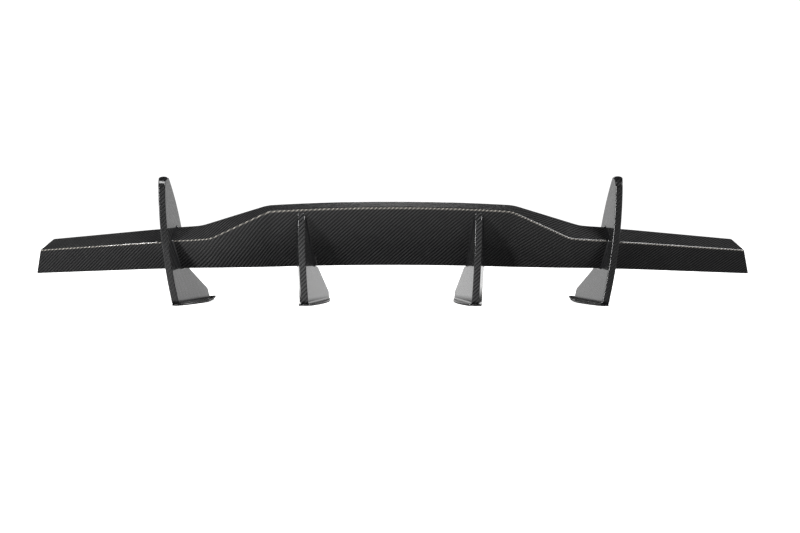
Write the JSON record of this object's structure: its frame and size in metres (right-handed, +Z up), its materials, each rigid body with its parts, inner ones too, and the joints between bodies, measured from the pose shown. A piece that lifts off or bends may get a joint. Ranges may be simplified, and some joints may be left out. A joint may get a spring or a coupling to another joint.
{
  "type": "rear wing",
  "caption": "Rear wing in glossy twill carbon laminate: a raised-centre blade with swept, dropped arms on flanged uprights, the outer ones rising above the blade as fences.",
  "frame": {"origin": "on the mounting plane under the foot gaskets, at mid span and at the middle of the wing's depth", "axes": "+X along the span, +Y from the blade's trailing edge towards its front and the foot flanges' points, +Z up"},
  "size_m": [1.4254, 0.195, 0.2461],
  "materials": {
    "carbon": "twill carbon laminate under polished clear coat",
    "foam": "closed-cell structural foam",
    "rib": "dense machined tooling board, black",
    "aluminium": "machined",
    "steel": "zinc plated",
    "rubber": "closed-cell sealing strip"
  },
  "bodies": {
    "root": {"centre_rear_skin": "carbon", "centre_top_skin": "carbon", "centre_core": "foam", "left_shoulder_core": "foam", "right_shoulder_core": "foam", "left_tip_rear_skin": "carbon", "left_tip_top_skin": "carbon", "left_tip_core": "foam", "left_tip_end_cap": "carbon", "right_tip_rear_skin": "carbon", "right_tip_top_skin": "carbon", "right_tip_core": "foam", "right_tip_end_cap": "carbon", "left_centre_rib": "rib", "left_tip_rib": "rib", "left_joiner_tube": "carbon", "right_centre_rib": "rib", "right_tip_rib": "rib", "right_joiner_tube": "carbon", "joint_bolts": "steel", "joint_nuts": "steel", "outer_left_outboard_skin": "carbon", "outer_left_inboard_skin": "carbon", "outer_left_core": "foam", "outer_left_flange": "carbon", "outer_left_hard_point": "aluminium", "outer_left_gasket": "rubber", "outer_right_outboard_skin": "carbon", "outer_right_inboard_skin": "carbon", "outer_right_core": "foam", "outer_right_flange": "carbon", "outer_right_hard_point": "aluminium", "outer_right_gasket": "rubber", "inner_left_outboard_skin": "carbon", "inner_left_inboard_skin": "carbon", "inner_left_core": "foam", "inner_left_flange": "carbon", "inner_left_hard_point": "aluminium", "inner_left_gasket": "rubber", "inner_right_outboard_skin": "carbon", "inner_right_inboard_skin": "carbon", "inner_right_core": "foam", "inner_right_flange": "carbon", "inner_right_hard_point": "aluminium", "inner_right_gasket": "rubber", "inner_left_nut_block": "aluminium", "inner_left_backing_plate": "aluminium", "inner_right_nut_block": "aluminium", "inner_right_backing_plate": "aluminium", "upright_screws": "steel", "threaded_inserts": "steel"}
  },
  "joints": []
}
